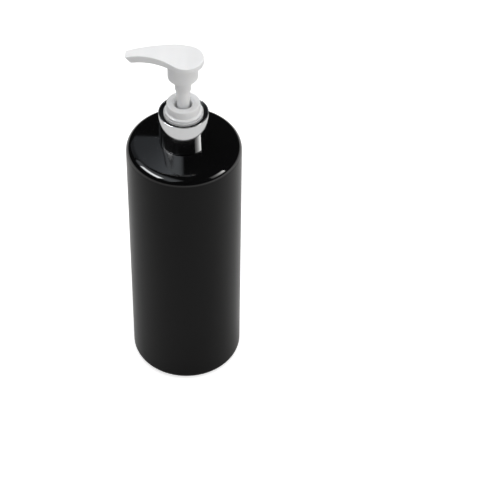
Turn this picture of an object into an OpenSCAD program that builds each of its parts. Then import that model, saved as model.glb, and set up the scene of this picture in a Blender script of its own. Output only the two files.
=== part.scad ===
// Free-standing pump bottle for massage oil: blown bottle, screw collar with a metal shell,
// and a spring-return dispensing pump. Millimetres, +Z up, origin at the centre of the foot,
// spout towards -X.

/* [Bottle body] */
// Outside diameter of the body
body_d = 66; // [56:1:80]
// Height at which the straight side ends and the shoulder fillet begins
body_side_h = 161.7; // [140:0.1:200]
// Outside radius between the side and the shoulder
shoulder_r = 5.6; // [3:0.1:9]
// Rise of the shoulder towards the neck, in degrees
shoulder_slope = 7.3; // [3:0.1:12]
// Outside radius between the side and the foot
foot_r = 4.4; // [3:0.1:7]
// Wall thickness
wall_t = 1; // [0.7:0.1:1.5]
// Diameter of the recess pushed up into the foot
recess_d = 47; // [36:1:50]
// Depth of that recess at the middle
recess_h = 3; // [1:0.1:5]

/* [Neck] */
// Neck diameter at the thread root
neck_d = 21.5; // [21:0.1:22]
// Neck height from the shoulder to the sealing rim
neck_h = 15.1; // [14:0.1:18]
// Wall of the neck under its thread
neck_wall = 2; // [1.85:0.05:2.15]
// Radius where the neck meets the shoulder
neck_fillet = 1.1; // [0.6:0.1:1.2]

/* [Screw thread] */
// Thread pitch, eight turns to the inch
pitch = 3.175; // [3:0.005:3.3]
// Turns of thread on the neck and in the collar
thread_turns = 1.5; // [1:0.25:1.75]
// Depth of the neck thread from crest to root
thread_h = 1.1; // [0.95:0.05:1.15]
// Distance from the sealing rim down to the top turn
thread_down = 2; // [1.8:0.1:2.6]
// Width of the neck thread at its root
thread_w = 1.9; // [1.6:0.05:1.95]
// Width of the neck thread at its crest
crest_w = 0.9; // [0.7:0.05:1]
// Radial gap between crest and root on either side
thread_gap = 0.3; // [0.25:0.05:0.35]
// Depth to which each thread is sunk into the wall that carries it
thread_sink = 0.4; // [0.3:0.05:0.5]
// Extra width of the neck thread at that depth
sink_w = 0.7; // [0.4:0.05:0.8]

/* [Collar] */
// Wall of the closure outside its thread root
closure_wall = 1.45; // [1.3:0.05:2]
// Lead-in chamfer at the mouth of the closure
closure_lead = 0.8; // [0.4:0.1:1]
// Thickness of the metal shell
shell_t = 0.5; // [0.4:0.1:0.7]
// Height of the shell rim above the deck of the closure
shell_rim = 1.7; // [1:0.1:2.5]
// Radius rolled on the shell rim
shell_roll = 0.22; // [0.1:0.01:0.24]
// Gap between the shell and the shoulder
shell_gap = 0.35; // [0.3:0.05:1]
// Distance from the shell's lower edge up to the closure's lower edge
closure_up = 0.3; // [0.2:0.1:1]
// Thickness of the closure deck
deck_t = 1.2; // [1:0.1:1.6]
// Play above and below the deck so that the collar turns
deck_play = 0.1; // [0.05:0.01:0.15]
// Radial gap between the deck and the pump cylinder
deck_gap = 0.35; // [0.3:0.05:0.5]

/* [Gasket] */
// Thickness of the neck gasket
gasket_t = 1; // [0.8:0.1:1.5]

/* [Pump cylinder] */
// Bore in which the piston runs
bore_d = 11.2; // [11:0.1:11.4]
// Wall of the cylinder
cyl_wall = 1.3; // [1:0.1:1.5]
// Overhang of the clamped flange beyond the neck
flange_over = 0.15; // [0:0.05:0.3]
// Thickness of that flange
flange_t = 1.2; // [1:0.1:1.6]
// Radial gap between the cylinder head and the bore of the neck
plug_gap = 0.5; // [0.4:0.05:0.7]
// Length of the cylinder head below the flange
plug_h = 5; // [4:0.1:7]
// Step of the counterbore that grips the chaplet
mouth_step = 0.8; // [0.6:0.05:0.9]
// Depth of the counterbore below the flange underside
mouth_down = 2.6; // [2:0.1:3.5]
// Height of the ring that stands above the flange
ring_h = 5; // [4:0.1:6]
// Diameter of the air vent
vent_d = 1; // [0.8:0.1:1.4]
// Distance from the flange underside down to the vent
vent_down = 8; // [7:0.1:10]
// Radial gap between the valve ball and its chamber
chamber_gap = 0.8; // [0.6:0.05:0.95]
// Depth of the ball chamber above its conical seat
chamber_h = 3.1; // [3:0.1:4]
// Diameter of the throat under the seat
throat_d = 2.8; // [2.4:0.1:3.2]
// Length of the throat
throat_h = 2; // [1.5:0.1:3]
// Length of the socket for the dip tube
socket_h = 12; // [8:0.5:16]
// Wall of that socket
socket_wall = 1.4; // [1:0.1:1.8]

/* [Dip tube] */
// Outside diameter of the dip tube
tube_d = 6; // [5.4:0.1:6.2]
// Wall of the dip tube
tube_wall = 0.8; // [0.6:0.1:1]
// Gap between the end of the tube and the bottle floor
tube_gap = 3.5; // [2:0.5:10]
// Height of the two notches in the end of the tube
notch_h = 2.5; // [1:0.5:4]

/* [Inlet valve] */
// Diameter of the valve ball
ball_d = 5; // [4.8:0.1:5.2]
// Lift of the ball off its seat
ball_lift = 1.2; // [0.8:0.1:1.5]
// Height of the ball retainer
retainer_h = 3; // [2.6:0.1:3.6]
// Width of each bar across the retainer
bar_w = 1.4; // [1:0.1:1.8]
// Wall of the retainer ring
retainer_wall = 2.2; // [2:0.05:2.3]

/* [Return spring] */
// Wire diameter
wire_d = 0.8; // [0.7:0.1:0.9]
// Radial gap between the coil and the pump bore
coil_gap = 1; // [0.8:0.05:1.1]
// Length with the head up
spring_l = 30; // [28:0.5:34]
// Turns, closed ends included
coils = 8.5; // [7:0.5:9]
// Pitch of the closed end turns, in wire diameters
closed_pitch = 1.06; // [1.03:0.01:1.1]

/* [Piston] */
// Travel of the head from its top stop to its bottom stop
stroke = 18.5; // [15:0.1:19]
// Radial running clearance of the piston in its bore
bore_fit = 0.05; // [0.02:0.01:0.08]
// Height of the piston
piston_h = 8; // [7:0.1:9]
// Thickness of the two sealing skirts
lip_t = 0.7; // [0.5:0.1:0.9]
// Thickness of the piston web
web_t = 2; // [1.5:0.1:3]
// Wall of the piston hub
hub_wall = 1.1; // [0.9:0.1:1.3]
// Free slip of the piston on its rod, which opens the outlet
slip = 1.45; // [1:0.05:1.6]
// Distance by which the hub stands out above and below the sealing skirts
hub_out = 0.4; // [0.2:0.1:0.8]
// Gap left at each end stop
stop_gap = 0.05; // [0.02:0.01:0.1]

/* [Stems] */
// Diameter of the piston rod
rod_d = 4.8; // [4.4:0.1:5]
// Radial running clearance of the piston hub on its rod
rod_fit = 0.07; // [0.02:0.01:0.1]
// Wall of the piston rod
rod_wall = 1.1; // [0.9:0.05:1.3]
// Diameter of the outlet ports through the rod
port_d = 1.2; // [0.8:0.1:1.4]
// Height of the ports and of the end of the bore above the foot
port_up = 0.2; // [0.1:0.05:0.4]
// Radial gap between the foot of the rod and the pump bore
foot_gap = 1.1; // [0.9:0.05:1.2]
// Thickness of that foot
rod_foot_t = 3; // [2:0.1:4]
// Radial gap between the spring and the boss that centres it
boss_gap = 0.5; // [0.3:0.05:0.8]
// Height of that boss
boss_h = 1.5; // [1:0.1:2]
// Length of rod pressed into the upper stem
rod_grip = 8; // [6:0.5:10]
// Wall of the upper stem round the piston rod
stem_wall = 1.1; // [0.9:0.05:1.2]
// Ledge in the upper stem on which the rod stops
stem_ledge = 0.4; // [0.3:0.05:0.7]
// Ledge at the top of the taper on which the head stops
stem_step = 0.55; // [0.3:0.05:0.6]
// Thickness of the stop flange on the upper stem
stop_t = 1.5; // [1:0.1:2]
// Radial gap between that flange and the pump bore
stop_clear = 0.8; // [0.6:0.05:1.1]
// Diameter of the spigot pressed into the head
spigot_d = 7.2; // [6.8:0.1:7.4]
// Length of that spigot
spigot_h = 12; // [8:0.5:14]

/* [Chaplet] */
// Wall of the raised part round the ring of the pump cylinder
chaplet_wall = 1.2; // [1:0.05:1.5]
// Height of the raised part above its flange
chaplet_h = 6.5; // [5.5:0.1:7.5]
// Edge radius of the raised part
chaplet_round = 0.6; // [0.4:0.1:1]
// Width of the flange over the deck
chaplet_lip = 1.75; // [1.6:0.05:1.9]
// Thickness of that flange
chaplet_flange_t = 2.1; // [1.8:0.1:2.3]
// Width of the bead round the foot of the raised part
bead_w = 1.1; // [0.9:0.05:1.3]
// Height of the bead at its outer edge
bead_h = 0.9; // [0.6:0.1:1.2]
// Rise of the bead's sloping top
bead_rise = 0.8; // [0.4:0.1:1.2]
// Thickness of the top round the passage
chaplet_t = 2; // [1.6:0.1:2.6]
// Width and depth of the countersink round the stem
sink_h = 0.5; // [0.3:0.1:0.8]
// Radial gap between the passage and the socket of the head
passage_gap = 0.35; // [0.3:0.05:0.4]
// Gap under that socket with the head down
passage_end = 0.4; // [0.2:0.1:0.6]
// Radial gap round the taper of the stem
taper_gap = 0.3; // [0.2:0.05:0.4]
// Length of the sleeve below the flange
sleeve_h = 18.2; // [17:0.1:20]
// Length of the guide at the end of the sleeve
guide_h = 4; // [3:0.1:4.4]
// Radial running clearance of the stem in its guide
guide_fit = 0.05; // [0.02:0.01:0.1]

/* [Head] */
// Diameter of the finger pad
pad_d = 21; // [20:0.1:22]
// Extra length of the pad behind the stem axis
pad_back = 1.2; // [0.5:0.1:1.8]
// Thickness of the pad at its edge
pad_t = 3.4; // [3:0.1:3.8]
// Reach of the spout from the stem axis to its tip
reach = 31.4; // [28:0.1:32]
// Angle at which the pad outline leaves its circle, in degrees
neck_angle = 24.4; // [22:0.2:26]
// Radius of the hollow flanks of the spout in plan
flank_r = 75; // [70:1:80]
// Distance from the stem axis to the top of the arch
arch_at = 16.4; // [15:0.1:18]
// Radius of the arched top
arch_r = 43.7; // [41:0.1:47]
// Height of the arch above the pad
arch_rise = 3; // [2.4:0.1:3.2]
// Radius that blends the pad into the arch
blend_r = 25; // [20:1:30]
// Distance from the stem axis to the top of the lower edge
edge_at = 14.2; // [13:0.1:15]
// Radius of the lower edge seen from the side
edge_r = 50; // [47:0.5:54]
// Set-back of the lower corner of the tip
tip_back = 3.5; // [2.5:0.1:4]
// Height of the slanted tip face
tip_h = 3.7; // [3:0.1:4.2]
// Thickness of the top skin over the hollows
skin_t = 1.3; // [1.1:0.1:1.5]
// Thickness of the side walls of the spout
side_t = 1; // [0.8:0.1:1.1]
// Width of the nozzle channel under the spout
channel_w = 3.8; // [3.4:0.1:4.2]
// Depth of the channel below the pad where it leaves the skirt
channel_down = 0.6; // [0.4:0.1:1]
// Distance from the stem axis to the bend in the channel's lower edge
channel_bend = 20; // [18:0.5:22]
// Height of the channel's lower edge above the pad's lower face beyond that bend
bend_up = 0.2; // [0:0.1:0.5]
// Diameter of the nozzle bore
nozzle_d = 1.5; // [1.2:0.1:1.6]
// Height of the nozzle axis above the pad's lower face at the stem
nozzle_up = 1; // [0.8:0.05:1.1]
// Height of the nozzle axis above that face at the tip
nozzle_tip = 1.45; // [1.3:0.05:1.6]
// Diameter of the skirt under the pad
skirt_d = 16.9; // [16:0.1:17.4]
// Height of the skirt
skirt_h = 10.1; // [9:0.1:12]
// Wall of the skirt
skirt_wall = 1.1; // [0.9:0.1:1.4]
// Wall of the socket that grips the stem
grip_wall = 1; // [0.9:0.05:1.2]
// Length of the socket below the skirt
grip_down = 8.5; // [7.5:0.1:9]
// Thickness of the ribs between the socket and the skirt
rib_t = 1; // [0.8:0.1:1.4]
// Distance of the ribs above the lower edge of the skirt
rib_up = 2; // [1:0.5:5]

/* [Hidden] */
$fn = 96;
eps = 0.01;
body_r = body_d / 2;
slope_r = body_r - shoulder_r + shoulder_r * sin(shoulder_slope);
slope_z = body_side_h + shoulder_r * cos(shoulder_slope);
function shoulder_at(r) = slope_z + (slope_r - r) * tan(shoulder_slope);
recess_sphere = (recess_d * recess_d / 4 + recess_h * recess_h) / (2 * recess_h);
floor_z = recess_h + wall_t;

neck_r = neck_d / 2;
neck_bore = neck_r - neck_wall;
closure_crest = neck_r + thread_gap;
closure_root = neck_r + thread_h + thread_gap;
shell_r = closure_root + closure_wall + shell_t;
flange_r = neck_r + flange_over;
plug_r = neck_bore - plug_gap;
bore_r = bore_d / 2;
mouth_r = bore_r + mouth_step;
chamber_r = ball_d / 2 + chamber_gap;
coil_r = bore_r - coil_gap - wire_d / 2;
rod_r = rod_d / 2;
stem_r = rod_r + stem_wall;
stem_bore = rod_r - stem_ledge;
spigot_r = spigot_d / 2;
stem_top_r = spigot_r + stem_step;
grip_r = spigot_r + grip_wall;
passage_r = grip_r + passage_gap;
chaplet_r = plug_r + chaplet_wall;

neck_root = shoulder_at(neck_r);
neck_z = neck_root + neck_h;
gasket_z = neck_z + gasket_t;
flange_z = gasket_z + flange_t;
deck_z = flange_z + deck_play;
deck_top = deck_z + deck_t;
cap_z = deck_top + deck_play;
cap_top = cap_z + chaplet_flange_t;
bead_z = cap_top + bead_h;
chaplet_top = cap_top + chaplet_h;
shell_low = shoulder_at(shell_r) + shell_gap;
shell_top = deck_top + shell_rim;
closure_low = shell_low + closure_up;

thread_z = neck_z - thread_down - thread_turns * pitch;

mouth_z = gasket_z - mouth_down;
sleeve_z = cap_z - sleeve_h;
stop_top = sleeve_z - stop_gap;
stop_z = stop_top - stop_t;
piston_top = stop_z - stop_gap - slip;
piston_z = piston_top - piston_h;
spring_top = piston_z - rod_foot_t;
spring_z = spring_top - spring_l;
ledge_z = spring_z - retainer_h;
cone_z = ledge_z - chamber_h;
throat_top = cone_z - chamber_r + throat_d / 2;
tube_top = throat_top - throat_h;
ball_z = cone_z - chamber_r + ball_d / 2 * sqrt(2);
bars_z = ball_z + ball_d / 2 + ball_lift + stop_gap;

skirt_z = chaplet_top + stroke + stop_gap;
grip_z = skirt_z - grip_down;
pad_z = skirt_z + skirt_h;
pad_top = pad_z + pad_t;
arch_z = pad_top + arch_rise - arch_r;
edge_z = pad_z - sqrt(edge_r * edge_r - edge_at * edge_at);
blend_at = arch_at - sqrt(pow(arch_r + blend_r, 2) - pow(pad_top + blend_r - arch_z, 2));
blend_end = arch_at + (blend_at - arch_at) * arch_r / (arch_r + blend_r);
tip_top = arch_z + sqrt(arch_r * arch_r - pow(reach - arch_at, 2));
nozzle_z = pad_z + nozzle_up;
head_low = pad_z - channel_down - 1;
head_high = pad_top + arch_rise + 1;

bottle();
neck_gasket();
closure();
collar_shell();
pump_cylinder();
chaplet();
dip_tube();
inlet_ball();
ball_retainer();
return_spring();
piston_seal();
lower_stem();
upper_stem();
actuator_head();

// A rectangle in the radius-height plane.
module band(r0, r1, z0, z1) {
    translate([r0, z0]) square([r1 - r0, z1 - z0]);
}

module tube(r0, r1, z0, z1) {
    rotate_extrude() band(r0, r1, z0, z1);
}

// One helical rib of trapezoidal section, root radius r0 and crest radius r1, low at both ends.
module thread_rib(r0, r1, root_w, tip_w, z0) {
    seg = 48;
    n = thread_turns * seg;
    run = 5;
    stub = 0.4;
    function fade(i) = min(1, (i + stub) / run, (n - i + stub) / run);
    points = [for (i = [0:n]) let (a = 360 * i / seg, z = z0 + pitch * i / seg, k = fade(i),
            rt = r0 + (r1 - r0) * k)
        each [[r0 * cos(a), r0 * sin(a), z - root_w / 2], [rt * cos(a), rt * sin(a), z - tip_w / 2],
            [rt * cos(a), rt * sin(a), z + tip_w / 2], [r0 * cos(a), r0 * sin(a), z + root_w / 2]]];
    sides = [for (i = [0:n - 1]) for (j = [0:3]) let (p = 4 * i + j, q = 4 * i + (j + 1) % 4)
        each [[p, q, p + 4], [q, q + 4, p + 4]]];
    faces = concat(sides, [[3, 2, 1], [3, 1, 0]],
        [[4 * n, 4 * n + 1, 4 * n + 2], [4 * n, 4 * n + 2, 4 * n + 3]]);
    polyhedron(points, r1 > r0 ? faces : [for (f = faces) [f[2], f[1], f[0]]], 4);
}

// Body section inset by o from the outside.
module body_section(o) {
    difference() {
        union() {
            polygon([[0, o], [body_r - foot_r, o], [body_r - foot_r, foot_r], [body_r - o, foot_r],
                [body_r - o, body_side_h], [body_r - shoulder_r, body_side_h],
                [body_r - shoulder_r + (shoulder_r - o) * sin(shoulder_slope),
                    body_side_h + (shoulder_r - o) * cos(shoulder_slope)],
                [0, shoulder_at(0) - o / cos(shoulder_slope)]]);
            translate([body_r - foot_r, foot_r]) circle(foot_r - o);
            translate([body_r - shoulder_r, body_side_h]) circle(shoulder_r - o);
        }
        translate([0, recess_h - recess_sphere]) circle(recess_sphere + o, $fn = 360);
    }
}

module bottle() {
    fillet_r = neck_r + neck_fillet;
    fillet_z = neck_root + neck_fillet * (1 / cos(shoulder_slope) - tan(shoulder_slope));
    fillet_end = fillet_r - neck_fillet * sin(shoulder_slope);
    color([0.03, 0.03, 0.035]) union() {
        rotate_extrude() intersection() {
            difference() {
                union() {
                    body_section(0);
                    band(0, neck_r, neck_root - wall_t, neck_z);
                    difference() {
                        band(0, fillet_end, neck_root - wall_t, fillet_z);
                        translate([fillet_r, fillet_z]) circle(neck_fillet);
                    }
                }
                body_section(wall_t);
                band(-1, neck_bore, body_side_h, neck_z + 1);
            }
            band(0, body_r + 1, -1, neck_z + 1);
        }
        thread_rib(neck_r - thread_sink, neck_r + thread_h, thread_w + sink_w, crest_w, thread_z);
    }
}

module neck_gasket() {
    color([0.85, 0.85, 0.82]) tube(plug_r, flange_r, neck_z, gasket_z);
}

module closure() {
    mouth_z = closure_low + closure_lead;
    color([0.06, 0.06, 0.065]) union() {
        rotate_extrude() difference() {
            band(0, closure_root + closure_wall, closure_low, deck_top);
            band(-1, closure_root, closure_low - 1, deck_z);
            band(-1, plug_r + deck_gap, closure_low, deck_top + 1);
            polygon([[0, closure_low - 1], [closure_root + closure_lead, closure_low - 1],
                [closure_root + closure_lead, closure_low], [closure_root, mouth_z], [0, mouth_z]]);
        }
        thread_rib(closure_root + thread_sink, closure_crest, thread_w + sink_w - thread_sink,
            crest_w, thread_z - pitch / 2);
    }
}

module collar_shell() {
    inner = shell_r - shell_t;
    color([0.8, 0.81, 0.83]) rotate_extrude() union() {
        band(inner, shell_r, shell_low, shell_top - shell_roll);
        band(inner + shell_roll, shell_r - shell_roll, shell_low, shell_top);
        for (r = [inner + shell_roll, shell_r - shell_roll])
            translate([r, shell_top - shell_roll]) circle(shell_roll);
    }
}

module pump_cylinder() {
    out = bore_r + cyl_wall;
    neck = tube_d / 2 + socket_wall;
    low = tube_top - socket_h;
    top = flange_z + ring_h;
    plug_z = gasket_z - plug_h;
    color([0.88, 0.88, 0.85]) difference() {
        rotate_extrude() difference() {
            polygon([[0, low], [neck, low], [neck, cone_z - (out - neck)], [out, cone_z],
                [out, plug_z], [plug_r, plug_z], [plug_r, gasket_z], [flange_r, gasket_z],
                [flange_r, flange_z], [plug_r, flange_z], [plug_r, top], [0, top]]);
            polygon([[-1, low - 1], [tube_d / 2, low - 1], [tube_d / 2, tube_top],
                [throat_d / 2, tube_top], [throat_d / 2, throat_top], [chamber_r, cone_z],
                [chamber_r, ledge_z], [bore_r, ledge_z], [bore_r, mouth_z],
                [mouth_r, mouth_z], [mouth_r, top + 1], [-1, top + 1]]);
        }
        translate([0, 0, gasket_z - vent_down]) rotate([90, 0, 0])
            cylinder(h = 2 * out, d = vent_d, $fn = 32);
    }
}

module chaplet() {
    color([0.93, 0.93, 0.92]) rotate_extrude() difference() {
        union() {
            band(0, chaplet_r, cap_z, chaplet_top - chaplet_round);
            band(0, chaplet_r - chaplet_round, cap_z, chaplet_top);
            translate([chaplet_r - chaplet_round, chaplet_top - chaplet_round])
                circle(chaplet_round);
            band(0, chaplet_r + chaplet_lip, cap_z, cap_top);
            polygon([[0, cap_z], [chaplet_r + bead_w, cap_z], [chaplet_r + bead_w, bead_z],
                [chaplet_r, bead_z + bead_rise], [0, bead_z + bead_rise]]);
            band(0, mouth_r, mouth_z, cap_z + 1);
            band(0, bore_r - bore_fit, sleeve_z, mouth_z + 1);
        }
        band(mouth_r, plug_r, mouth_z, chaplet_top - chaplet_t);
        band(-1, passage_r, grip_z - stroke - passage_end, chaplet_top + 1);
        band(-1, stem_top_r + taper_gap, sleeve_z + guide_h, chaplet_top);
        band(-1, stem_r + guide_fit, sleeve_z - 1, chaplet_top);
        polygon([[0, chaplet_top + eps], [passage_r + sink_h, chaplet_top + eps],
            [passage_r + sink_h, chaplet_top], [passage_r, chaplet_top - sink_h],
            [0, chaplet_top - sink_h]]);
    }
}

module dip_tube() {
    low = floor_z + tube_gap;
    color([0.9, 0.92, 0.9]) difference() {
        tube(tube_d / 2 - tube_wall, tube_d / 2, low, tube_top);
        translate([0, 0, low]) rotate([90, 0, 0]) linear_extrude(2 * tube_d, center = true)
            polygon([[-tube_d / 3, -1], [tube_d / 3, -1], [tube_d / 3, 0], [0, notch_h],
                [-tube_d / 3, 0]]);
    }
}

module inlet_ball() {
    color([0.7, 0.72, 0.74]) translate([0, 0, ball_z]) sphere(d = ball_d);
}

module ball_retainer() {
    open_r = bore_r - retainer_wall;
    root = retainer_wall / 4;
    bar_h = spring_z - bars_z;
    color([0.9, 0.9, 0.87]) union() {
        tube(open_r, bore_r, ledge_z, spring_z);
        intersection() {
            translate([0, 0, bars_z + bar_h / 2]) union() {
                cube([bore_d, bar_w, bar_h], center = true);
                cube([bar_w, bore_d, bar_h], center = true);
            }
            tube(0, open_r + root, bars_z, spring_z);
        }
    }
}

module return_spring() {
    seg = 24;
    sides = 8;
    n = coils * seg;
    wr = wire_d / 2;
    closed = wire_d * closed_pitch;
    rise = (spring_l - wire_d - 2 * closed) / (coils - 2);
    function up(t) = t < 1 ? closed * t
        : t > coils - 1 ? spring_l - wire_d - closed * (coils - t)
        : closed + rise * (t - 1);
    points = [for (i = [0:n]) let (a = 360 * i / seg, z = spring_z + wr + up(i / seg))
        for (j = [0:sides - 1]) let (b = 360 * j / sides, r = coil_r + wr * cos(b))
            [r * cos(a), r * sin(a), z + wr * sin(b)]];
    skin = [for (i = [0:n - 1]) for (j = [0:sides - 1])
        let (p = sides * i + j, q = sides * i + (j + 1) % sides)
            each [[p, p + sides, q], [q, p + sides, q + sides]]];
    ends = [[for (j = [0:sides - 1]) j], [for (j = [0:sides - 1]) sides * n + sides - 1 - j]];
    color([0.75, 0.76, 0.78]) polyhedron(points, concat(skin, ends), 4);
}

module piston_seal() {
    hub = rod_r + rod_fit;
    lip = bore_r - bore_fit;
    mid = (piston_z + piston_top) / 2;
    color([0.86, 0.9, 0.92]) rotate_extrude() union() {
        band(hub, hub + hub_wall, piston_z, piston_top);
        band(hub + hub_wall / 2, lip - lip_t / 2, mid - web_t / 2, mid + web_t / 2);
        band(lip - lip_t, lip, piston_z + hub_out, piston_top - hub_out);
    }
}

module lower_stem() {
    bore_z = piston_z + port_up;
    rod_top = stop_z + rod_grip;
    color([0.9, 0.9, 0.88]) difference() {
        rotate_extrude() union() {
            difference() {
                band(0, rod_r, piston_z - 1, rod_top);
                band(-1, rod_r - rod_wall, bore_z, rod_top + 1);
            }
            band(0, bore_r - foot_gap, spring_top, piston_z);
            band(0, coil_r - wire_d / 2 - boss_gap, spring_top - boss_h, spring_top + 1);
        }
        for (a = [0, 90]) rotate([0, 0, a]) translate([0, 0, bore_z + port_d / 2])
            rotate([90, 0, 0]) cylinder(h = rod_d + 2, d = port_d, center = true, $fn = 32);
    }
}

module upper_stem() {
    color([0.92, 0.92, 0.91]) rotate_extrude() difference() {
        union() {
            band(0, bore_r - stop_clear, stop_z, stop_top);
            band(0, stem_r, stop_z, chaplet_top);
            polygon([[0, chaplet_top - 1], [stem_r, chaplet_top - 1], [stem_top_r, grip_z],
                [0, grip_z]]);
            band(0, spigot_r, grip_z - 1, grip_z + spigot_h);
        }
        band(-1, stem_bore, stop_z, grip_z + spigot_h + 1);
        band(-1, rod_r, stop_z - 1, stop_z + rod_grip);
    }
}

// Outline of the head seen from above, inset by o.
module head_plan(o) {
    pad_r = pad_d / 2 - o;
    reach_r = pad_d / 2 + flank_r;
    start = pad_d / 2 * sin(neck_angle);
    difference() {
        union() {
            intersection() {
                circle(pad_r);
                translate([-pad_d, -pad_d]) square([pad_d, 2 * pad_d]);
            }
            translate([0, -pad_r]) square([pad_back, 2 * pad_r]);
            translate([pad_back, 0]) intersection() {
                circle(pad_r);
                translate([0, -pad_d]) square([pad_d, 2 * pad_d]);
            }
            translate([-reach + o, -pad_d / 2]) square([reach - o - start, pad_d]);
        }
        for (s = [-1, 1]) translate([-reach_r * sin(neck_angle), s * reach_r * cos(neck_angle)])
            circle(flank_r + o, $fn = 360);
    }
}

// Everything under the top of the head seen from the side, lowered by o.
module head_top(o) {
    union() {
        difference() {
            union() {
                translate([-blend_at, grip_z]) square([pad_d, pad_top - grip_z - o]);
                translate([-blend_end, grip_z]) square([blend_end - blend_at, head_high - grip_z]);
            }
            translate([-blend_at, pad_top + blend_r]) circle(blend_r + o, $fn = 180);
        }
        intersection() {
            translate([-arch_at, arch_z]) circle(arch_r - o, $fn = 360);
            translate([-reach - 1, grip_z]) square([reach + 1 - blend_at, head_high + 1 - grip_z]);
        }
    }
}

// Everything above the lower edge of the head seen from the side.
module head_edge() {
    difference() {
        translate([-reach - 1, head_low]) square([reach + pad_d, head_high - head_low]);
        intersection() {
            translate([-edge_at, edge_z]) circle(edge_r, $fn = 360);
            translate([-reach - 2, head_low - 1]) square([reach + 2, head_high - head_low]);
        }
        translate([-1, head_low - 1]) square([pad_d, pad_z + 1 - head_low]);
    }
}

module across(w) {
    rotate([90, 0, 0]) linear_extrude(w, center = true) children();
}

module upright(z0, z1) {
    translate([0, 0, z0]) linear_extrude(z1 - z0) children();
}

module head_shell() {
    difference() {
        intersection() {
            upright(head_low, head_high) head_plan(0);
            across(pad_d + 2) head_top(0);
            across(pad_d + 2) head_edge();
        }
        intersection() {
            upright(head_low - 1, head_high) head_plan(side_t);
            across(pad_d + 2) head_top(skin_t);
        }
    }
}

module nozzle_channel() {
    intersection() {
        upright(head_low, head_high) head_plan(0);
        across(channel_w) intersection() {
            head_top(0);
            polygon([[0, head_high], [0, pad_z - channel_down],
                [-skirt_d / 2, pad_z - channel_down], [-channel_bend, pad_z + bend_up],
                [-reach, pad_z + bend_up], [-reach, head_high]]);
        }
    }
}

module head_socket() {
    rib_l = skirt_d - skirt_wall;
    intersection() {
        union() {
            tube(skirt_d / 2 - skirt_wall, skirt_d / 2, skirt_z, head_high);
            tube(0, grip_r, grip_z, head_high);
            for (a = [0, 90]) rotate([0, 0, a])
                translate([-rib_l / 2, -rib_t / 2, skirt_z + rib_up])
                    cube([rib_l, rib_t, head_high - skirt_z]);
        }
        across(pad_d + 2) head_top(skin_t / 2);
    }
}

module actuator_head() {
    slant = tip_back / tip_h;
    rise = nozzle_tip - nozzle_up;
    color([0.94, 0.94, 0.94]) difference() {
        union() {
            head_shell();
            nozzle_channel();
            head_socket();
        }
        across(pad_d) polygon([[-reach - 2, tip_top], [-reach, tip_top],
            [-reach + slant * (tip_top - head_low), head_low], [-reach - 2, head_low]]);
        tube(0, spigot_r, grip_z - 1, grip_z + spigot_h);
        tube(0, stem_bore, grip_z, nozzle_z + nozzle_d / 2);
        translate([0, 0, nozzle_z]) rotate([0, -90 - atan(rise / reach), 0])
            cylinder(h = reach + 2, d = nozzle_d, $fn = 48);
    }
}
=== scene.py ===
from math import atan, cos, pi, radians, sin, sqrt, tan

import bmesh
import bpy
from mathutils import Matrix, Vector


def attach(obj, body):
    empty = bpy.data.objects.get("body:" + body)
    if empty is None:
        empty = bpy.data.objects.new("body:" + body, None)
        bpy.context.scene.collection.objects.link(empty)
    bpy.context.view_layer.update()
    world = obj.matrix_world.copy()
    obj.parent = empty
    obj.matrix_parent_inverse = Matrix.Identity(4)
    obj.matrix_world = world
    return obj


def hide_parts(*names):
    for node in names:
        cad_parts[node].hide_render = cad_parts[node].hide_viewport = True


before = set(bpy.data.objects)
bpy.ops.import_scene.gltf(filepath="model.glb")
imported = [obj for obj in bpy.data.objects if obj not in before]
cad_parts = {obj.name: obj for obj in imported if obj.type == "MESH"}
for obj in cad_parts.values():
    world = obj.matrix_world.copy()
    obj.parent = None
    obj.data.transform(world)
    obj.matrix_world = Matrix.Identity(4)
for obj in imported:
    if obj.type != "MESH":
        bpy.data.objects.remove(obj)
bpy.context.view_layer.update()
print("frame loaded:", len(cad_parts), "nodes")

mm = 0.001  # pieces are drawn in millimetres, and their meshes are scaled at the end
weld = 0.0005  # vertices nearer than this are one
hold = 0.25  # how far from a fillet the loops stand that keep the flats flat
wideFillet = 3  # from this radius up a fillet gets twice the steps
sharpAngle = radians(32)


def feed(tree, node, inputs):
    # an input takes a value, or a socket that is linked to it
    for name, value in inputs.items():
        if isinstance(value, bpy.types.NodeSocket):
            tree.links.new(value, node.inputs[name])
        else:
            node.inputs[name].default_value = value


def addNode(tree, kind, inputs=None, **settings):
    node = tree.nodes.new(kind)
    for key, value in settings.items():
        setattr(node, key, value)
    feed(tree, node, inputs or {})
    return node


def newMaterial(name):
    material = bpy.data.materials.new(name)
    material.use_nodes = True
    return material


def makeSurfaceGroup():
    # grain and broad waviness of a moulded surface
    tree = bpy.data.node_groups.new("mouldedSurface", "ShaderNodeTree")
    tree.interface.new_socket("Vector", in_out="INPUT", socket_type="NodeSocketVector")
    for name, usual in (("Grain", 2500), ("Wave", 60), ("Wave Share", 0.5)):
        socket = tree.interface.new_socket(name, in_out="INPUT", socket_type="NodeSocketFloat")
        socket.default_value = usual
    for name in ("Height", "Variation"):
        tree.interface.new_socket(name, in_out="OUTPUT", socket_type="NodeSocketFloat")
    given = addNode(tree, "NodeGroupInput").outputs
    grain = addNode(tree, "ShaderNodeTexNoise", {
        "Vector": given["Vector"], "Scale": given["Grain"], "Detail": 3}).outputs["Fac"]
    wave = addNode(tree, "ShaderNodeTexNoise", {
        "Vector": given["Vector"], "Scale": given["Wave"], "Detail": 2}).outputs["Fac"]
    height = addNode(tree, "ShaderNodeMix", {
        "Factor": given["Wave Share"], "A": grain, "B": wave}).outputs["Result"]
    addNode(tree, "NodeGroupOutput", {"Height": height, "Variation": wave})
    return tree


surfaceGroup = makeSurfaceGroup()


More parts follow.
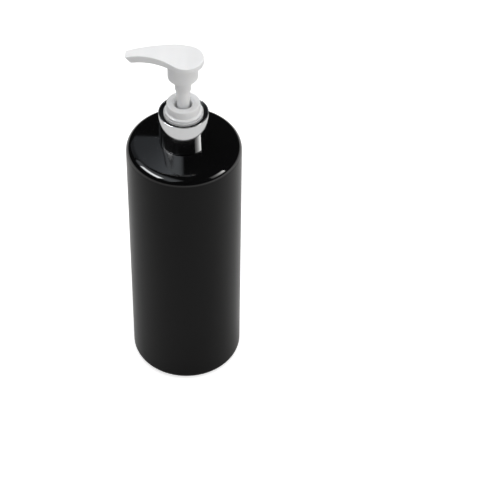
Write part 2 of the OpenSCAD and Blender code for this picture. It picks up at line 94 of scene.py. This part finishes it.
def moulded(name, look):
    # colour and roughness follow the waviness, and the bump holds the grain as well
    material = newMaterial(name)
    tree = material.node_tree
    coords = addNode(tree, "ShaderNodeTexCoord").outputs["Object"]
    stretched = addNode(tree, "ShaderNodeMapping", {
        "Vector": coords, "Scale": look.get("stretch", (1, 1, 1))}).outputs["Vector"]
    surface = addNode(tree, "ShaderNodeGroup", {
        "Vector": stretched, "Grain": look["grain"], "Wave": look["wave"]},
        node_tree=surfaceGroup).outputs
    rough = addNode(tree, "ShaderNodeMapRange", {
        "Value": surface["Variation"], "From Min": 0.3, "From Max": 0.7,
        "To Min": look["rough"][0], "To Max": look["rough"][1]}).outputs["Result"]
    tint = addNode(tree, "ShaderNodeMix", {
        "Factor": surface["Variation"], "A": (*look["dark"], 1), "B": (*look["light"], 1)},
        data_type="RGBA").outputs["Result"]
    bump = addNode(tree, "ShaderNodeBump", {
        "Height": surface["Height"], "Strength": look["bump"],
        "Distance": look["depth"] * mm}).outputs["Normal"]
    finish = {"Base Color": tint, "Roughness": rough, "Normal": bump}
    if "polish" in look:
        # across this height the surface turns as smooth as the polished mould
        low, high, smooth = look["polish"]
        height = addNode(tree, "ShaderNodeSeparateXYZ", {"Vector": coords}).outputs["Z"]
        gloss = addNode(tree, "ShaderNodeMapRange", {
            "Value": height, "From Min": low * mm, "From Max": high * mm}).outputs["Result"]
        finish["Coat Weight"] = gloss
        finish["Roughness"] = addNode(tree, "ShaderNodeMix", {
            "Factor": gloss, "A": rough, "B": smooth}).outputs["Result"]
    feed(tree, tree.nodes["Principled BSDF"], {**finish, **look["set"]})
    return material


looks = {
    "bottle_black": {"dark": (0.0026, 0.0026, 0.0028), "light": (0.0034, 0.0034, 0.0036),
                     "grain": 1800, "wave": 45, "rough": (0.15, 0.2), "bump": 0.06,
                     "depth": 0.01, "polish": (162.3, 163.1, 0.07),
                     "set": {"IOR": 1.25, "Coat Roughness": 0.07, "Coat IOR": 1.5}},
    "closure_black": {"dark": (0.004, 0.004, 0.004), "light": (0.006, 0.006, 0.006),
                      "grain": 1500, "wave": 90, "rough": (0.25, 0.35), "bump": 0.2,
                      "depth": 0.02, "set": {"IOR": 1.4}},
    "shell_silver": {"dark": (0.85, 0.86, 0.87), "light": (0.89, 0.895, 0.9),
                     "grain": 900, "wave": 120, "rough": (0.05, 0.09), "bump": 0.06,
                     "depth": 0.004, "stretch": (1, 1, 6), "set": {"Metallic": 1}},
    "pump_white": {"dark": (0.87, 0.875, 0.88), "light": (0.91, 0.91, 0.91),
                   "grain": 1400, "wave": 110, "rough": (0.3, 0.42), "bump": 0.15,
                   "depth": 0.015, "set": {"IOR": 1.46, "Subsurface Weight": 0.4,
                                           "Subsurface Scale": 0.002,
                                           "Subsurface Radius": (1, 0.97, 0.9)}},
    "natural_pp": {"dark": (0.62, 0.63, 0.61), "light": (0.72, 0.73, 0.7),
                   "grain": 1200, "wave": 130, "rough": (0.28, 0.4), "bump": 0.2,
                   "depth": 0.02, "set": {"Transmission Weight": 0.35, "IOR": 1.45}},
    "tube_pe": {"dark": (0.7, 0.71, 0.7), "light": (0.8, 0.81, 0.79),
                "grain": 900, "wave": 160, "rough": (0.3, 0.45), "bump": 0.15,
                "depth": 0.02, "stretch": (1, 1, 0.1),
                "set": {"Transmission Weight": 0.5, "IOR": 1.5}},
    "steel": {"dark": (0.5, 0.5, 0.5), "light": (0.62, 0.61, 0.6),
              "grain": 3000, "wave": 300, "rough": (0.15, 0.28), "bump": 0.15,
              "depth": 0.005, "set": {"Metallic": 1}},
    "gasket_foam": {"dark": (0.55, 0.55, 0.53), "light": (0.75, 0.75, 0.72),
                    "grain": 2600, "wave": 900, "rough": (0.7, 0.9), "bump": 0.8,
                    "depth": 0.08, "set": {}},
}
materials = {name: moulded(name, look) for name, look in looks.items()}
print("materials made:", len(materials))

# the frame's own nodes, also those that a finer piece replaces further down
cadLooks = {
    "bottle": "bottle_black", "neck_gasket": "gasket_foam", "closure": "closure_black",
    "collar_shell": "shell_silver", "pump_cylinder": "natural_pp", "chaplet": "pump_white",
    "dip_tube": "tube_pe", "inlet_ball": "steel", "ball_retainer": "natural_pp",
    "return_spring": "steel", "piston_seal": "tube_pe", "lower_stem": "pump_white",
    "upper_stem": "pump_white", "actuator_head": "pump_white",
}
for name, look in cadLooks.items():
    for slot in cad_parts[name].material_slots:
        slot.material = materials[look]
print("materials given to the CAD nodes")


def spinChain(bm, first, centre, axis, angle, steps):
    # one vertex spun about a centre gives a chain of vertices, in order
    count = len(bm.verts)
    bmesh.ops.spin(bm, geom=[first], cent=centre, axis=axis, angle=angle, steps=steps)
    bm.verts.ensure_lookup_table()
    return [first] + bm.verts[count:]


def addCorner(bm, before, here, after, fillet, steps):
    if fillet == 0:
        return [bm.verts.new(here)]
    back, ahead = (before - here).normalized(), (after - here).normalized()
    half = back.angle(ahead) / 2
    start = here + back * fillet / tan(half)
    centre = here + (back + ahead).normalized() * fillet / sin(half)
    axis = ahead.cross(back).normalized()
    return spinChain(bm, bm.verts.new(start), centre, axis, pi - 2 * half, steps)


def traceProfile(bm, corners, closed, fine):
    # corners are (distance from the axis, height, fillet)
    points = [Vector((x, 0, z)) for x, z, fillet in corners]
    chains = []
    for i, (point, corner) in enumerate(zip(points, corners)):
        atEnd = not closed and i in (0, len(points) - 1)
        after = points[(i + 1) % len(points)]
        fillet = 0 if atEnd else corner[2]
        steps = fine if fillet < wideFillet else 2 * fine
        chains.append(addCorner(bm, points[i - 1], point, after, fillet, steps))
    for one, other in zip(chains, chains[1:] + chains[:1] if closed else chains[1:]):
        a, b = one[-1], other[0]
        span = b.co - a.co
        line = [a, b]
        if span.length > 4 * hold:
            step = span.normalized() * hold
            line = [a, bm.verts.new(a.co + step), bm.verts.new(b.co - step), b]
        for pair in zip(line, line[1:]):
            bm.edges.new(pair)


def spunMesh(corners, around, closed=True, fine=6):
    bm = bmesh.new()
    traceProfile(bm, corners, closed, fine)
    bmesh.ops.spin(bm, geom=bm.verts[:] + bm.edges[:], cent=(0, 0, 0), axis=(0, 0, 1),
                   angle=radians(360), steps=around, use_merge=True)
    bmesh.ops.remove_doubles(bm, verts=bm.verts[:], dist=weld)
    bmesh.ops.recalc_face_normals(bm, faces=bm.faces[:])
    return bm


def makeObject(bm, name):
    bmesh.ops.scale(bm, vec=(mm, mm, mm), verts=bm.verts[:])
    mesh = bpy.data.meshes.new(name)
    bm.to_mesh(mesh)
    bm.free()
    mesh.shade_smooth()
    mesh.set_sharp_from_angle(angle=sharpAngle)
    made = bpy.data.objects.new(name, mesh)
    bpy.context.scene.collection.objects.link(made)
    return made


def combine(target, operation, tool):
    # the boolean is applied at once, and the tool is thrown away
    modifier = target.modifiers.new("combine", "BOOLEAN")
    modifier.operation = operation
    modifier.solver = "EXACT"
    modifier.object = tool
    graph = bpy.context.evaluated_depsgraph_get()
    result = bpy.data.meshes.new_from_object(target.evaluated_get(graph))
    old = target.data
    target.modifiers.clear()
    target.data = result
    bpy.data.meshes.remove(old)
    bpy.data.objects.remove(tool)


def place(piece, body, slot, *nodes):
    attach(piece, body)
    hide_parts(*nodes)
    piece.data.materials.append(materials[slot])
    print(piece.name, "made:", len(piece.data.polygons), "faces")


bottle = {
    "radius": 33, "sideTop": 161.7, "shoulderFillet": 5.6, "slope": 7.3, "footFillet": 4.4,
    "wall": 1, "recessRadius": 23.5, "recessHeight": 3, "recessFillet": 1.6,
    "recessStep": 0.2, "gateRadius": 2.2, "gateHeight": 0.25, "gateRun": 0.3,
    "gateFillet": 0.15, "gateShare": 24, "neckRadius": 10.75, "neckTop": 184.58,
    "neckBore": 8.75, "neckFillet": 1.1, "neckFilletInside": 0.8, "rimFillet": 0.35,
    "boreFillet": 0.3, "around": 288, "seamAzimuth": 13.3, "seamWidth": 0.16,
    "seamHeight": 0.05, "seamFrom": 13, "seamTo": 32, "seamDepth": 2.5,
    "threadRadius": 11.85, "threadLow": 177.816, "threadPitch": 3.175, "threadTurns": 1.5,
    "threadRoot": 2.6, "threadCrest": 0.9, "threadSink": 0.4, "threadSteps": 72,
}


def shoulderAt(r, drop=0):
    b = bottle
    slope = radians(b["slope"])
    startR = b["radius"] - b["shoulderFillet"] * (1 - sin(slope))
    startZ = b["sideTop"] + b["shoulderFillet"] * cos(slope)
    return startZ + (startR - r) * tan(slope) - drop / cos(slope)


def bottleCorners():
    b = bottle
    r, wall, rise, recess = b["radius"], b["wall"], b["recessHeight"], b["recessRadius"]
    dome = (recess ** 2 + rise ** 2) / (2 * rise) - b["gateShare"]  # the gate takes the rest
    bend = recess - rise / tan(2 * atan(rise / recess))
    return [
        (0, rise - b["gateHeight"], 0),
        (b["gateRadius"], rise - b["gateHeight"], b["gateFillet"]),
        (b["gateRadius"] + b["gateRun"], rise, b["gateFillet"]),
        (bend, rise, dome), (recess, 0, b["recessFillet"]), (r, 0, b["footFillet"]),
        (r, shoulderAt(r), b["shoulderFillet"]),
        (b["neckRadius"], shoulderAt(b["neckRadius"]), b["neckFillet"]),
        (b["neckRadius"], b["neckTop"], b["rimFillet"]),
        (b["neckBore"], b["neckTop"], b["boreFillet"]),
        (b["neckBore"], shoulderAt(b["neckBore"], wall), b["neckFilletInside"]),
        (r - wall, shoulderAt(r - wall, wall), b["shoulderFillet"] - wall),
        (r - wall, wall, b["footFillet"] - wall),
        (recess + b["recessStep"], wall, b["recessFillet"]),
        (bend, rise + wall, dome), (0, rise + wall, 0),
    ]


def raiseSeam(bm):
    # the parting line of the mould stands a hair proud across the shoulder
    b = bottle
    azimuth = radians(b["seamAzimuth"])
    across = Vector((cos(azimuth), sin(azimuth), 0))
    for offset in (-b["seamWidth"], 0, b["seamWidth"]):
        bmesh.ops.bisect_plane(bm, geom=bm.verts[:] + bm.edges[:] + bm.faces[:], dist=0.00001,
                               plane_co=across * offset, plane_no=across)
    for v in bm.verts:
        flat = v.co.xy.length
        inReach = b["seamFrom"] < flat < b["seamTo"] and v.co.z > b["sideTop"]
        onShoulder = inReach and v.co.z > shoulderAt(flat, b["seamDepth"])
        if onShoulder and abs(v.co.dot(across)) < weld:
            v.co.z += b["seamHeight"]


def addThread(bm):
    b = bottle
    half, tip = b["threadRoot"] / 2, b["threadCrest"] / 2
    inner, outer = b["neckRadius"] - b["threadSink"], b["threadRadius"]
    section = [bm.verts.new((x, 0, b["threadLow"] + z))
               for x, z in ((inner, -half), (outer, -tip), (outer, tip), (inner, half))]
    face = bm.faces.new(section)
    climb = b["threadPitch"] * b["threadTurns"] / b["threadSteps"]
    bmesh.ops.spin(bm, geom=section + face.edges[:] + [face], cent=(0, 0, 0), axis=(0, 0, 1),
                   dvec=(0, 0, climb), angle=radians(360) * b["threadTurns"],
                   steps=b["threadSteps"])


def buildBottle():
    bm = spunMesh(bottleCorners(), bottle["around"], closed=False, fine=10)
    raiseSeam(bm)
    addThread(bm)
    bmesh.ops.recalc_face_normals(bm, faces=bm.faces[:])
    return makeObject(bm, "bottleBlown")


place(buildBottle(), "bottle", "bottle_black", "bottle")

collar = {"radius": 14.1, "wall": 0.5, "low": 169.4, "high": 189.775, "rimRoll": 0.24,
          "hemRoll": 0.24, "around": 320}


def buildShell():
    c = collar
    outer, inner = c["radius"], c["radius"] - c["wall"]
    corners = [(outer, c["low"], c["hemRoll"]), (outer, c["high"], c["rimRoll"]),
               (inner, c["high"], c["rimRoll"]), (inner, c["low"], c["hemRoll"])]
    return makeObject(spunMesh(corners, c["around"]), "collarShell")


place(buildShell(), "collar", "shell_silver", "collar_shell")

# the ring in the collar that the stem slides through
chaplet = {
    "flangeRadius": 11.2, "flangeLow": 188.18, "flangeHigh": 190.275, "flangeFillet": 0.25,
    "grooveRadius": 10.9, "grooveLow": 189.4, "grooveFillet": 0.08, "beadRadius": 10.5,
    "beadHigh": 191.18, "beadTop": 191.98, "radius": 9.45, "top": 196.775, "topFillet": 0.6,
    "sinkRadius": 6.2, "sinkLow": 195.5, "passage": 4.95, "passageLow": 187.93,
    "taperBore": 4.45, "guideTop": 173.98, "guideBore": 3.55, "low": 169.98, "sleeve": 5.55,
    "step": 182.98, "mouth": 6.4, "ringTop": 194.78, "ringRadius": 8.25, "edge": 0.15,
    "fillet": 0.2, "roll": 0.3, "around": 192,
}


def buildChaplet():
    c = chaplet
    edge, fillet, roll = c["edge"], c["fillet"], c["roll"]
    corners = [
        (c["ringRadius"], c["flangeLow"], 0), (c["flangeRadius"], c["flangeLow"], edge),
        (c["flangeRadius"], c["flangeHigh"], c["flangeFillet"]),
        (c["grooveRadius"], c["flangeHigh"], c["grooveFillet"]),
        (c["grooveRadius"], c["grooveLow"], 0), (c["beadRadius"], c["grooveLow"], 0),
        (c["beadRadius"], c["beadHigh"], fillet), (c["radius"], c["beadTop"], roll),
        (c["radius"], c["top"], c["topFillet"]), (c["sinkRadius"], c["top"], edge),
        (c["passage"], c["sinkLow"], fillet), (c["passage"], c["passageLow"], 0),
        (c["taperBore"], c["passageLow"], fillet), (c["taperBore"], c["guideTop"], fillet),
        (c["guideBore"], c["guideTop"], fillet), (c["guideBore"], c["low"], edge),
        (c["sleeve"], c["low"], roll), (c["sleeve"], c["step"], 0),
        (c["mouth"], c["step"], edge), (c["mouth"], c["ringTop"], fillet),
        (c["ringRadius"], c["ringTop"], fillet),
    ]
    return makeObject(spunMesh(corners, c["around"]), "chapletRing")


place(buildChaplet(), "pump_unit", "pump_white", "chaplet")

stem = {
    "stopRadius": 4.8, "low": 168.43, "stopTop": 169.93, "radius": 3.5, "taperLow": 196.78,
    "taperFillet": 6, "topRadius": 4.15, "ledge": 206.83, "spigot": 3.6, "top": 218.825,
    "bore": 2, "boreFillet": 0.2, "socket": 2.4, "socketTop": 176.43, "edge": 0.1,
    "fillet": 0.15, "roll": 0.3, "around": 144,
}


def buildStem():
    s = stem
    corners = [
        (s["socket"], s["low"], s["edge"]), (s["stopRadius"], s["low"], s["fillet"]),
        (s["stopRadius"], s["stopTop"], s["fillet"]), (s["radius"], s["stopTop"], s["edge"]),
        (s["radius"], s["taperLow"], s["taperFillet"]),
        (s["topRadius"], s["ledge"], s["fillet"]), (s["spigot"], s["ledge"], 0),
        (s["spigot"], s["top"], s["roll"]), (s["bore"], s["top"], s["boreFillet"]),
        (s["bore"], s["socketTop"], 0), (s["socket"], s["socketTop"], 0),
    ]
    return makeObject(spunMesh(corners, s["around"]), "stemUpper")


place(buildStem(), "plunger", "pump_white", "upper_stem")

head = {
    "pad": 10.5, "padBack": 1.2, "reach": 31.4, "flank": 75, "leave": 24.4,
    "padLow": 225.429, "padTop": 228.829, "archAt": 16.4, "archRadius": 43.7,
    "archCentre": 188.129, "blend": 25, "blendAt": -3.68, "blendEnd": 3.627,
    "edgeAt": 14.2, "edgeRadius": 50, "edgeCentre": 177.488, "edgeRound": 0.35,
    "edgeSteps": 5, "hemRound": 0.2, "skin": 1.3, "wall": 1, "hollowRound": 0.3,
    "skirt": 8.45, "skirtWall": 1.1, "skirtLow": 215.33, "skirtRound": 0.3,
    "grip": 4.6, "gripLow": 206.83, "gripRound": 0.25, "spigot": 3.6, "spigotTop": 218.83,
    "chamber": 2, "chamberTop": 227.179, "channel": 3.8, "channelLow": 224.829,
    "channelEnd": 0.5, "channelStep": 1.5, "channelSteps": 20, "bendAt": 20,
    "bendLow": 225.629, "nozzle": 0.75, "nozzleStart": 226.429, "nozzleRise": 0.45,
    "nozzleSides": 32, "tipTop": 229.174, "tipBack": 3.5, "tipHeight": 3.7,
    "tipBreak": 0.1, "rib": 1, "ribLow": 217.33, "trim": 0.5,
    "padSteps": 71, "leaveSteps": 10, "flankSteps": 40, "around": 128,
}
# how far the solids that are joined or cut away run past the head
past = {"hollow": 8, "socket": 6, "rib": 5, "under": 5, "spigot": 2, "nozzle": 4}


def headTop(x):
    # a flat pad, a hollow blend, and the arch of the spout; u grows towards the tip
    h, u = head, -x
    if u < h["blendAt"]:
        return h["padTop"]
    if u < h["blendEnd"]:
        return h["padTop"] + h["blend"] - sqrt(h["blend"] ** 2 - (u - h["blendAt"]) ** 2)
    return h["archCentre"] + sqrt(h["archRadius"] ** 2 - (u - h["archAt"]) ** 2)


def headEdge(x):
    h, u = head, -x
    if u < 0:
        return h["padLow"]
    return h["edgeCentre"] + sqrt(h["edgeRadius"] ** 2 - (u - h["edgeAt"]) ** 2)


def addOutline(bm, inset, heightAt):
    # one closed loop round the head: flank, side, pad, side, flank, and across the tip
    h = head
    toFlank, leave = h["pad"] + h["flank"], radians(h["leave"])
    centre = Vector((-toFlank * sin(leave), toFlank * cos(leave), 0))
    mirrored = Vector((centre.x, -centre.y, 0))
    tipX = inset - h["reach"]
    tipY = centre.y - sqrt((h["flank"] + inset) ** 2 - (tipX - centre.x) ** 2)
    start = Vector((tipX, tipY, 0))
    turn = (start - centre).angle(-centre)
    up, rear, sideSteps = (0, 0, 1), Vector((h["padBack"], 0, 0)), h["leaveSteps"]
    loop = spinChain(bm, bm.verts.new(start), centre, up, turn, h["flankSteps"])
    loop += spinChain(bm, loop[-1], (0, 0, 0), up, -leave, sideSteps)[1:]
    loop += spinChain(bm, bm.verts.new(loop[-1].co + rear), rear, up, -pi, h["padSteps"])
    loop += spinChain(bm, bm.verts.new(loop[-1].co - rear), (0, 0, 0), up, -leave, sideSteps)
    loop += spinChain(bm, loop[-1], mirrored, up, turn, h["flankSteps"])[1:]
    for v in loop:
        v.co.z = heightAt(v.co.x)
    for pair in zip(loop, loop[1:] + loop[:1]):
        if not bm.edges.get(pair):
            bm.edges.new(pair)
    return loop


def edgesOf(bm, chain, closed):
    pairs = list(zip(chain, chain[1:])) + ([(chain[-1], chain[0])] if closed else [])
    return [bm.edges.get(pair) for pair in pairs]


def headSolid(rings):
    # rings are (inset, height at x), from the lowest to the highest
    bm = bmesh.new()
    loops = [addOutline(bm, inset, heightAt) for inset, heightAt in rings]
    for one, other in zip(loops, loops[1:]):
        bmesh.ops.bridge_loops(bm, edges=edgesOf(bm, one, True) + edgesOf(bm, other, True))
    half = len(loops[0]) // 2
    for loop in (loops[0], loops[-1]):
        chains = edgesOf(bm, loop[:half], False) + edgesOf(bm, loop[half:], False)
        bmesh.ops.bridge_loops(bm, edges=chains)
    bmesh.ops.recalc_face_normals(bm, faces=bm.faces[:])
    return bm


def outerRings():
    h = head
    hem, edge, steps = h["hemRound"], h["edgeRound"], h["edgeSteps"]
    rings = [(hem, headEdge), (0, lambda x: headEdge(x) + hem)]
    for i in range(steps + 1):
        a = radians(90) * i / steps
        rings.append((edge * (1 - cos(a)), lambda x, d=edge * (1 - sin(a)): headTop(x) - d))
    rings.append((edge + hold, headTop))
    return rings


def keelSolid():
    # the channel under the spout that carries the nozzle's bore
    h = head
    bm = bmesh.new()
    low = [(0, h["channelLow"]), (-h["skirt"], h["channelLow"]), (-h["bendAt"], h["bendLow"]),
           (h["channelEnd"] - h["reach"], h["bendLow"])]
    stations = [-h["channelStep"] * i for i in reversed(range(h["channelSteps"] + 1))]
    points = low + [(x, headTop(x) - h["skin"] / 2) for x in stations]
    side = bm.faces.new([bm.verts.new((x, -h["channel"] / 2, z)) for x, z in points])
    grown = bmesh.ops.extrude_face_region(bm, geom=[side])
    moved = [v for v in grown["geom"] if isinstance(v, bmesh.types.BMVert)]
    bmesh.ops.translate(bm, vec=(0, h["channel"], 0), verts=moved)
    bmesh.ops.recalc_face_normals(bm, faces=bm.faces[:])
    return bm


def boxSolid(size, centre):
    bm = bmesh.new()
    bmesh.ops.create_cube(bm, size=1)
    bmesh.ops.scale(bm, vec=size, verts=bm.verts[:])
    bmesh.ops.translate(bm, vec=centre, verts=bm.verts[:])
    return bm


def rodSolid(radius, low, high, around=64, tilt=0, start=0):
    # a rod along Z, tilted towards the spout and lifted to its start
    bm = bmesh.new()
    bmesh.ops.create_cone(bm, cap_ends=True, segments=around, radius1=radius, radius2=radius,
                          depth=high - low)
    bmesh.ops.translate(bm, vec=(0, 0, (low + high) / 2), verts=bm.verts[:])
    bmesh.ops.rotate(bm, cent=(0, 0, 0), matrix=Matrix.Rotation(-tilt, 3, "Y"),
                     verts=bm.verts[:])
    bmesh.ops.translate(bm, vec=(0, 0, start), verts=bm.verts[:])
    return bm


def buildSocket():
    # skirt, grip and ribs under the pad, trimmed to the outside of the head
    h = head
    inner, top = h["skirt"] - h["skirtWall"], h["padTop"] + past["socket"]
    skirt = [(inner, h["skirtLow"], h["skirtRound"]),
             (h["skirt"], h["skirtLow"], h["skirtRound"]), (h["skirt"], top, 0),
             (inner, top, 0)]
    grip = [(0, h["gripLow"], 0), (h["grip"], h["gripLow"], h["gripRound"]),
            (h["grip"], top, 0), (0, top, 0)]
    socket = makeObject(spunMesh(skirt, h["around"]), "socket")
    combine(socket, "UNION", makeObject(spunMesh(grip, h["around"], closed=False), "grip"))
    length = h["skirt"] + inner
    tall = h["padTop"] + past["rib"] - h["ribLow"]
    for size in ((length, h["rib"], tall), (h["rib"], length, tall)):
        rib = boxSolid(size, (0, 0, h["ribLow"] + tall / 2))
        combine(socket, "UNION", makeObject(rib, "rib"))
    under = headSolid([(h["trim"], lambda x: h["gripLow"] - past["under"]),
                       (h["trim"], lambda x: headTop(x) - h["skin"] / 2)])
    combine(socket, "INTERSECT", makeObject(under, "under"))
    return socket


def cutTip(piece):
    # the tip leans back under itself, and its edges are broken
    h = head
    bm = bmesh.new()
    bm.from_mesh(piece.data)
    bmesh.ops.scale(bm, vec=(1 / mm,) * 3, verts=bm.verts[:])
    normal = Vector((-h["tipHeight"], 0, -h["tipBack"])).normalized()
    cut = bmesh.ops.bisect_plane(bm, geom=bm.verts[:] + bm.edges[:] + bm.faces[:], dist=0.0001,
                                 plane_co=(-h["reach"], 0, h["tipTop"]), plane_no=normal,
                                 clear_outer=True)
    rim = [e for e in cut["geom_cut"] if isinstance(e, bmesh.types.BMEdge)]
    bmesh.ops.edgeloop_fill(bm, edges=rim)
    bmesh.ops.bevel(bm, geom=rim, offset=h["tipBreak"], segments=2, profile=0.5,
                    affect="EDGES", clamp_overlap=True, material=-1)
    bmesh.ops.scale(bm, vec=(mm,) * 3, verts=bm.verts[:])
    bm.to_mesh(piece.data)
    bm.free()


def buildHead():
    h = head
    made = makeObject(headSolid(outerRings()), "pumpHead")
    deep = h["hollowRound"]
    hollow = headSolid([(h["wall"], lambda x: h["padLow"] - past["hollow"]),
                        (h["wall"], lambda x: headTop(x) - h["skin"] - deep),
                        (h["wall"] + deep, lambda x: headTop(x) - h["skin"])])
    combine(made, "DIFFERENCE", makeObject(hollow, "hollow"))
    socket = buildSocket()
    combine(made, "UNION", makeObject(keelSolid(), "keel"))
    combine(made, "UNION", socket)
    cutTip(made)
    tilt = pi / 2 + atan(h["nozzleRise"] / h["reach"])
    for bore in (rodSolid(h["spigot"], h["gripLow"] - past["spigot"], h["spigotTop"]),
                 rodSolid(h["chamber"], h["gripLow"], h["chamberTop"]),
                 rodSolid(h["nozzle"], 0, h["reach"] + past["nozzle"], h["nozzleSides"], tilt,
                          h["nozzleStart"])):
        combine(made, "DIFFERENCE", makeObject(bore, "bore"))
    made.data.set_sharp_from_angle(angle=sharpAngle)
    return made


place(buildHead(), "plunger", "pump_white", "actuator_head")

middle = Vector((0, 0, 0.167))  # of what the camera sees


def seenAt(azimuth, elevation, away):
    # azimuth 0 lies behind the object, and grows to the right
    a, e = radians(azimuth), radians(elevation)
    return middle + Vector((sin(a) * cos(e), cos(a) * cos(e), sin(e))) * away


def calculate(tree, operation, one, other):
    return addNode(tree, "ShaderNodeMath", {0: one, 1: other}, operation=operation).outputs[0]


def makeSheet(name, size):
    bm = bmesh.new()
    bmesh.ops.create_grid(bm, x_segments=1, y_segments=1, size=0.5)
    bmesh.ops.scale(bm, vec=(*size, 1), verts=bm.verts[:])
    mesh = bpy.data.meshes.new(name)
    bm.to_mesh(mesh)
    bm.free()
    made = bpy.data.objects.new(name, mesh)
    bpy.context.scene.collection.objects.link(made)
    return made


def makeCard(name, look):
    # a glowing card that shapes the reflections, fading along it and to its long edges
    made = makeSheet(name, look["size"])
    made.location = seenAt(look["azimuth"], look["elevation"], look["away"])
    facing = (middle - made.location).to_track_quat("-Z", "Y").to_matrix()
    rolled = facing @ Matrix.Rotation(radians(look["roll"]), 3, "Z")
    made.rotation_euler = rolled.to_euler()
    made.visible_diffuse = False
    material = newMaterial(name)
    tree = material.node_tree
    tree.nodes.remove(tree.nodes["Principled BSDF"])
    coords = addNode(tree, "ShaderNodeTexCoord").outputs["Object"]
    split = addNode(tree, "ShaderNodeSeparateXYZ", {"Vector": coords}).outputs
    end = look["end"] * look["size"][0] / 2
    along = addNode(tree, "ShaderNodeMapRange", {
        "Value": split["X"], "From Min": -end, "From Max": end}).outputs["Result"]
    level = addNode(tree, "ShaderNodeMapRange", {
        "Value": calculate(tree, "POWER", along, look["power"]),
        "To Min": look["glow"][0], "To Max": look["glow"][1]}).outputs["Result"]
    height = calculate(tree, "MULTIPLY", split["Y"], 2 / look["size"][1])
    inside = calculate(tree, "SUBTRACT", 1, calculate(tree, "MULTIPLY", height, height))
    edge = calculate(tree, "POWER", inside, look["soft"])
    glow = addNode(tree, "ShaderNodeEmission", {
        "Color": (*look["colour"], 1), "Strength": calculate(tree, "MULTIPLY", edge, level)})
    feed(tree, tree.nodes["Material Output"], {"Surface": glow.outputs[0]})
    made.data.materials.append(material)
    return made


def makeLamp(name, look):
    # lamps light the matt surfaces, and the cards are what the gloss shows
    lamp = bpy.data.lights.new(name, "AREA")
    lamp.shape = "RECTANGLE"
    lamp.size, lamp.size_y = look["size"]
    lamp.energy = look["power"]
    lamp.color = look["colour"]
    made = bpy.data.objects.new(name, lamp)
    made.location = look["at"]
    aim = Vector(look["target"]) - Vector(look["at"])
    made.rotation_euler = aim.to_track_quat("-Z", "Y").to_euler()
    made.visible_glossy = False
    bpy.context.scene.collection.objects.link(made)


floorLook = {"size": (12, 12), "colour": (0.72, 0.715, 0.71), "rough": 0.9, "lift": 0.7}


def makeFloor():
    # pale paper, lifted to white for the camera only
    made = makeSheet("floor", floorLook["size"])
    material = newMaterial("floorPaper")
    tree = material.node_tree
    fromCamera = addNode(tree, "ShaderNodeLightPath").outputs["Is Camera Ray"]
    feed(tree, tree.nodes["Principled BSDF"], {
        "Base Color": (*floorLook["colour"], 1), "Roughness": floorLook["rough"],
        "Specular IOR Level": 0, "Emission Color": (1, 1, 1, 1),
        "Emission Strength": calculate(tree, "MULTIPLY", fromCamera, floorLook["lift"])})
    made.data.materials.append(material)
    return made


worldLook = {"colour": (1, 1, 1, 1), "plain": 0.42, "glossy": 0.01, "camera": 1}


def makeWorld():
    world = bpy.data.worlds.new("studio")
    bpy.context.scene.world = world
    world.use_nodes = True
    tree = world.node_tree
    path = addNode(tree, "ShaderNodeLightPath").outputs
    dim = addNode(tree, "ShaderNodeMix", {
        "Factor": path["Is Glossy Ray"], "A": worldLook["plain"],
        "B": worldLook["glossy"]}).outputs["Result"]
    bright = addNode(tree, "ShaderNodeMix", {
        "Factor": path["Is Camera Ray"], "A": dim, "B": worldLook["camera"]}).outputs["Result"]
    feed(tree, tree.nodes["Background"], {"Color": worldLook["colour"], "Strength": bright})


# end is the bright end along X, power how fast the glow falls from it, and soft 0 keeps
# the long edges hard
cards = {
    "backCard": {"azimuth": -37, "elevation": 42.3, "away": 1, "size": (0.81, 0.41), "roll": -40,
                 "end": -1, "power": 5, "glow": (0.16, 1.2), "soft": 0,
                 "colour": (0.86, 0.92, 1)},
    "leftCard": {"azimuth": -110, "elevation": 44, "away": 1, "size": (0.7, 0.44), "roll": 0,
                 "end": 1, "power": 1, "glow": (14, 18), "soft": 2, "colour": (0.97, 0.985, 1)},
    "rightCard": {"azimuth": 110, "elevation": 25, "away": 1, "size": (0.48, 0.5), "roll": 0,
                  "end": 1, "power": 2, "glow": (1, 12), "soft": 1, "colour": (1, 0.99, 0.97)},
    "broadCard": {"azimuth": -116, "elevation": 55, "away": 1.15, "size": (1.7, 0.9), "roll": 0,
                  "end": 1, "power": 1, "glow": (1, 1.2), "soft": 1, "colour": (0.9, 0.95, 1)},
}
lamps = {
    "overhead": {"power": 9, "size": (1.1, 1.1), "at": (0.1, -0.1, 1.5), "target": (0, 0, 0),
                 "colour": (1, 1, 1)},
    "backLeft": {"power": 9, "size": (0.8, 0.8), "at": seenAt(-45, 50, 1.3), "target": middle,
                 "colour": (0.97, 0.985, 1)},
    "right": {"power": 6, "size": (0.6, 0.6), "at": seenAt(105, 14, 1.2), "target": middle,
              "colour": (1, 0.985, 0.96)},
}
floor = makeFloor()
makeWorld()
for name, look in lamps.items():
    makeLamp(name, look)
[makeCard(name, look) for name, look in cards.items()]

view = {"at": (0.07603853, -0.78987031, 0.88479247), "turn": (44.587815, -0.772305, 3.496425),
        "lens": 135.7771, "sensor": 36}
camera = bpy.data.objects.new("camera", bpy.data.cameras.new("camera"))
camera.location = view["at"]
camera.rotation_euler = [radians(angle) for angle in view["turn"]]
camera.data.lens = view["lens"]
camera.data.sensor_width = view["sensor"]
bpy.context.scene.collection.objects.link(camera)
bpy.context.scene.camera = camera
bpy.context.scene.view_settings.view_transform = "Standard"
print("floor, light and camera set")
